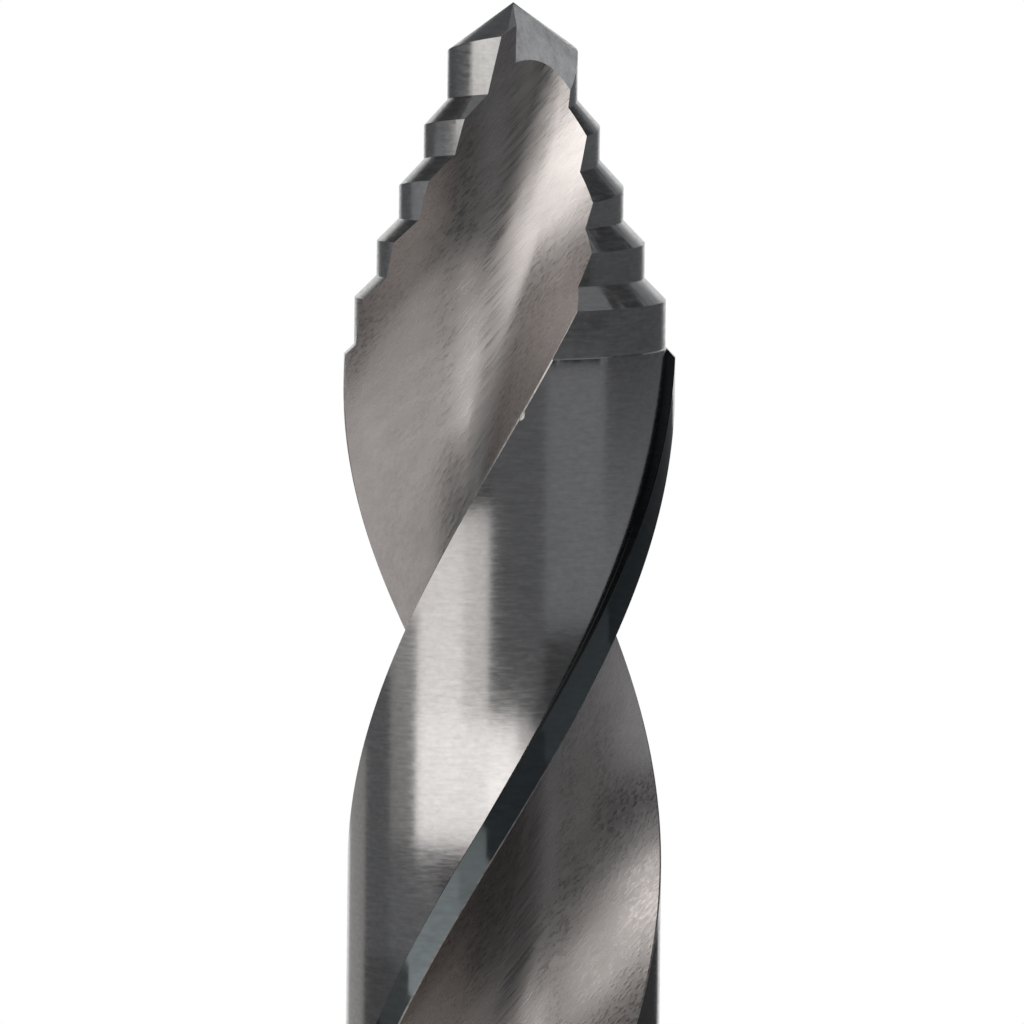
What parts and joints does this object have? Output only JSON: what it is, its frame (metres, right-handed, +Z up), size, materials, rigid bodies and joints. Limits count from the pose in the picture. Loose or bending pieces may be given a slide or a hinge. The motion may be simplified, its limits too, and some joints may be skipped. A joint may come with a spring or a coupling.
{
  "type": "stepped-point twist drill bit",
  "caption": "Right-hand twist drill bit with helical flutes, a stepped self-centring split point and a plain cylindrical shank.",
  "frame": {"origin": "centre of the flat end face of the shank, on the drill's axis", "axes": "+Z runs up the axis from the shank end to the tip; at the tip the first cutting lip points 80 degrees round from +X towards +Y"},
  "size_m": [0.013, 0.013, 0.151],
  "materials": {
    "tool_steel": "hardened tool steel, flutes ground along their length, lands ground around, margins polished"
  },
  "bodies": {
    "root": {"drill_bit": "tool_steel"}
  },
  "joints": []
}
